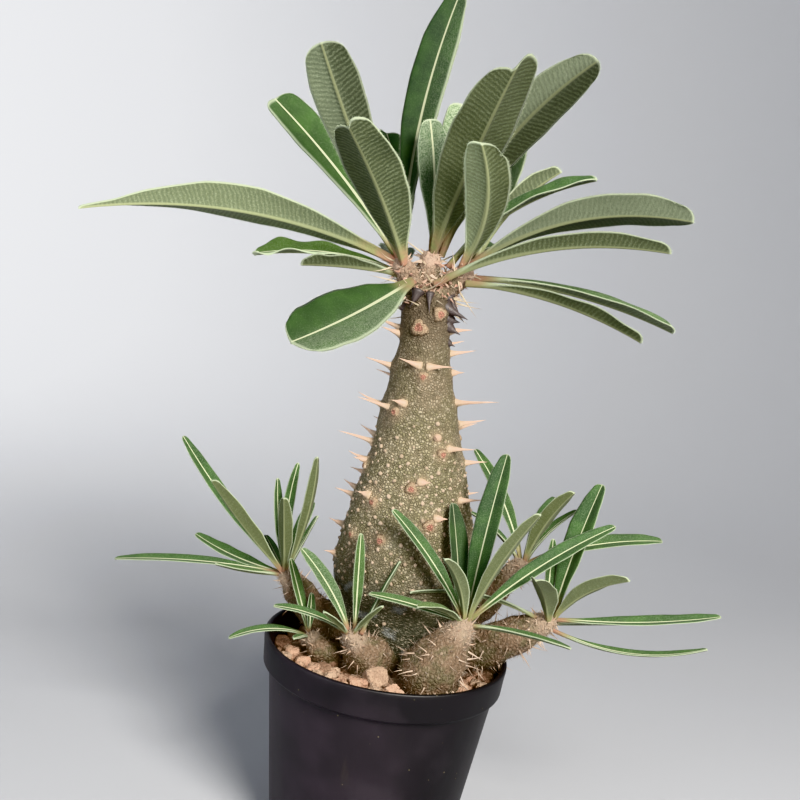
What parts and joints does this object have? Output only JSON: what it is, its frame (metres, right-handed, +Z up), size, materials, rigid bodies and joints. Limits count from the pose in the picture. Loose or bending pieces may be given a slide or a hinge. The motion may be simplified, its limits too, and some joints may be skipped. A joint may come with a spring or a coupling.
{
  "type": "potted pachypodium cactipes",
  "caption": "Young succulent with a swollen, spiny tapering trunk, a crown of folded green leaves and low leafy side stems, growing in grit in a round black nursery pot.",
  "frame": {"origin": "centre of the pot's underside", "axes": "+Z up out of the pot, +X to the viewer's right in the picture, -Y towards the viewer"},
  "size_m": [0.2648, 0.1284, 0.3346],
  "materials": {
    "pot": "dark violet-black moulded plastic with a faint sheen",
    "grit": "dry pinkish tan pumice and baked clay grit",
    "trunk_bark": "matt grey-green bark with pale specks, leaf scars and tan spines",
    "stem_bark": "matt tan-brown bark under fine bristles",
    "leaf": "felted green blade with a pale midrib and pale hairy margins"
  },
  "bodies": {
    "root": {"back_right_shoot": "leaf", "crown_leaf_01": "leaf", "crown_leaf_02": "leaf", "crown_leaf_03": "leaf", "crown_leaf_04": "leaf", "crown_leaf_05": "leaf", "crown_leaf_06": "leaf", "crown_leaf_07": "leaf", "crown_leaf_08": "leaf", "crown_leaf_09": "leaf", "crown_leaf_10": "leaf", "crown_leaf_11": "leaf", "crown_leaf_12": "leaf", "crown_leaf_13": "leaf", "crown_leaf_14": "leaf", "crown_leaf_15": "leaf", "crown_leaf_16": "leaf", "crown_leaf_17": "leaf", "crown_leaf_18": "leaf", "crown_leaf_19": "leaf", "crown_leaf_20": "leaf", "crown_leaf_21": "leaf", "crown_leaf_22": "leaf", "crown_leaf_23": "leaf", "crown_leaf_24": "leaf", "crown_leaf_25": "leaf", "front_leaf_1": "leaf", "front_leaf_2": "leaf", "front_leaf_3": "leaf", "front_leaf_4": "leaf", "front_leaf_5": "leaf", "front_leaf_6": "leaf", "front_leaf_7": "leaf", "front_leaf_8": "leaf", "front_leaf_9": "leaf", "front_left_leaf_1": "leaf", "front_left_leaf_2": "leaf", "front_left_leaf_3": "leaf", "front_left_leaf_4": "leaf", "front_left_leaf_5": "leaf", "front_left_leaf_6": "leaf", "front_left_leaf_7": "leaf", "front_left_stem": "stem_bark", "front_stem": "stem_bark", "left_shoot": "leaf", "low_left_shoot": "leaf", "pot": "pot", "potting_grit": "grit", "right_leaf_1": "leaf", "right_leaf_2": "leaf", "right_leaf_3": "leaf", "right_leaf_4": "leaf", "right_leaf_5": "leaf", "right_leaf_6": "leaf", "right_leaf_7": "leaf", "right_leaf_8": "leaf", "right_stem": "stem_bark", "trunk": "trunk_bark"}
  },
  "joints": []
}
